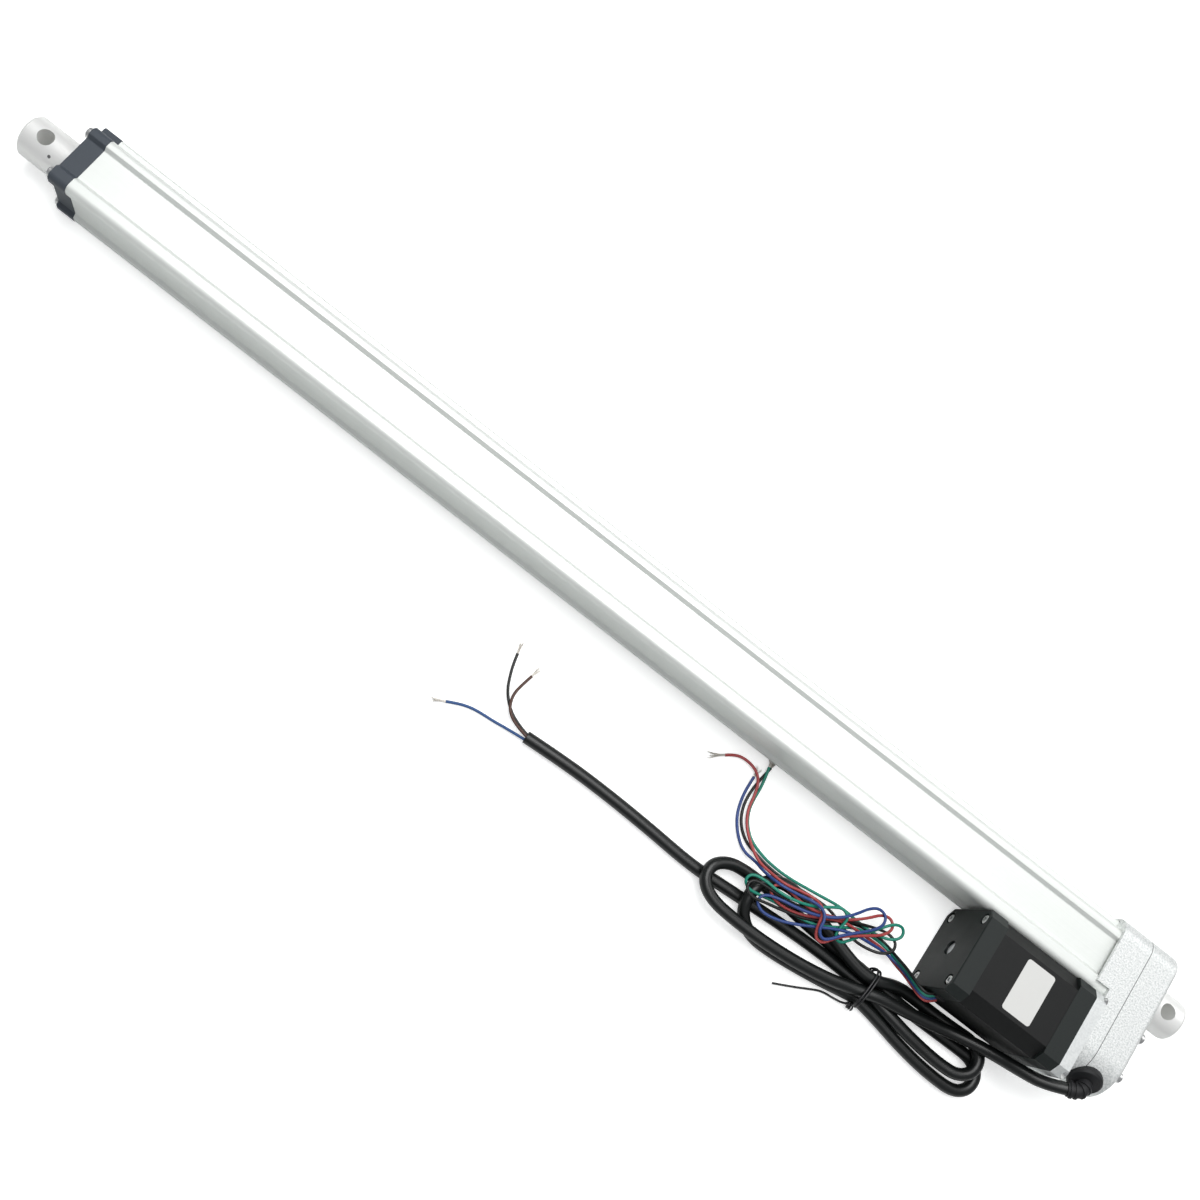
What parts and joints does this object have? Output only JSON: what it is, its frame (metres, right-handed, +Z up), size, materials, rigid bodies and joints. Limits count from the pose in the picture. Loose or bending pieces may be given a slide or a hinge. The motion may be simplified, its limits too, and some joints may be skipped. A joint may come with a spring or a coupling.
{
  "type": "stepper linear actuator",
  "caption": "Long screw actuator: a square stepper motor turns a lead screw through spur gears, and a round rod with a cross-bored eye slides out of a ribbed tube.",
  "frame": {"origin": "centre of the rear eye bore, on the rod axis", "axes": "+X along the rod towards the front eye, +Y from the screw to the motor, +Z up along both eye bores"},
  "size_m": [0.8625, 0.1564, 0.0564],
  "materials": {
    "anodised": "satin anodised extrusion",
    "cast": "rough cast with fine speckle",
    "bar": "turned and satin",
    "slate_plastic": "fine grain",
    "zinc": "bright zinc",
    "steel": "ground",
    "bronze": "turned",
    "black_plastic": "satin",
    "white_plastic": "satin",
    "motor_black": "satin black",
    "motor_cast": "satin dark grey",
    "adapter_metal": "milled",
    "lamination": "oiled",
    "copper": "enamelled wire",
    "magnet": "plain",
    "gasket": "plain",
    "seal": "satin",
    "board": "solder mask",
    "cable_black": "satin PVC",
    "core_blue": "satin PVC",
    "core_black": "satin PVC",
    "core_brown": "satin PVC",
    "wire_red": "satin PVC",
    "wire_blue": "satin PVC",
    "wire_green": "satin PVC",
    "wire_black": "satin PVC"
  },
  "bodies": {
    "base": {"tube": "anodised", "front_cap": "slate_plastic", "cap_screws": "zinc", "rod_wiper": "seal", "rod_bush": "bronze", "screw_bearing": "steel", "bearing_circlip": "steel", "tail_bearing": "steel", "idler_pin": "steel", "gear_housing": "cast", "gear_cover": "cast", "case_gasket": "gasket", "case_screws": "zinc", "tube_screws": "zinc", "rear_eye": "bar", "eye_screws": "zinc", "motor_adapter": "adapter_metal", "adapter_screws": "zinc", "mount_screws": "zinc", "motor_front_bell": "motor_cast", "motor_stack": "motor_black", "motor_coils": "copper", "motor_rear_bell": "motor_cast", "tie_screws": "zinc", "motor_bearings": "steel", "wave_washer": "steel", "lead_grommet": "white_plastic", "cable_gland": "black_plastic", "sensor_board": "board", "hall_sensors": "black_plastic", "sensor_cable_in": "cable_black", "sensor_cable_hank": "cable_black", "sensor_cable_out": "cable_black", "core_blue": "core_blue", "core_black": "core_black", "core_brown": "core_brown", "twist_tie": "black_plastic", "motor_leads_hank": "wire_black", "lead_red": "wire_red", "lead_blue": "wire_blue", "lead_green": "wire_green", "lead_black": "wire_black"},
    "rod": {"rod_tube": "bar", "front_eye": "bar", "rod_pins": "steel", "drive_nut": "white_plastic", "nut_magnet": "magnet"},
    "screw": {"lead_screw": "steel", "screw_guide": "white_plastic", "screw_gear": "steel", "gear_pin": "steel"},
    "idler": {"idler_gear": "steel"},
    "rotor": {"motor_shaft": "steel", "rotor_stacks": "lamination", "rotor_magnet": "magnet", "pinion": "steel", "pinion_screw": "steel"}
  },
  "joints": [
    {"name": "motor_spin", "type": "hinge", "parent": "base", "child": "rotor", "pos_m": [0.09, 0.0485, 0], "axis": [-1, 0, 0], "range_deg": [0, 81590]},
    {"name": "screw_spin", "type": "hinge", "parent": "base", "child": "screw", "pos_m": [0.03, 0, 0], "axis": [-1, 0, 0], "range_deg": [0, 50400]},
    {"name": "idler_spin", "type": "hinge", "parent": "base", "child": "idler", "pos_m": [0.03, 0.0275, 0], "axis": [-1, 0, 0], "range_deg": [-81600, 0]},
    {"name": "rod_slide", "type": "slide", "parent": "base", "child": "rod", "axis": [1, 0, 0], "range_m": [0, 0.7]}
  ],
  "couplings": [
    {"joint": "screw_spin", "follows": "motor_spin", "ratio": 0.61765},
    {"joint": "idler_spin", "follows": "motor_spin", "ratio": -1},
    {"joint": "rod_slide", "follows": "motor_spin", "m_per_rad": 0.00049151}
  ]
}
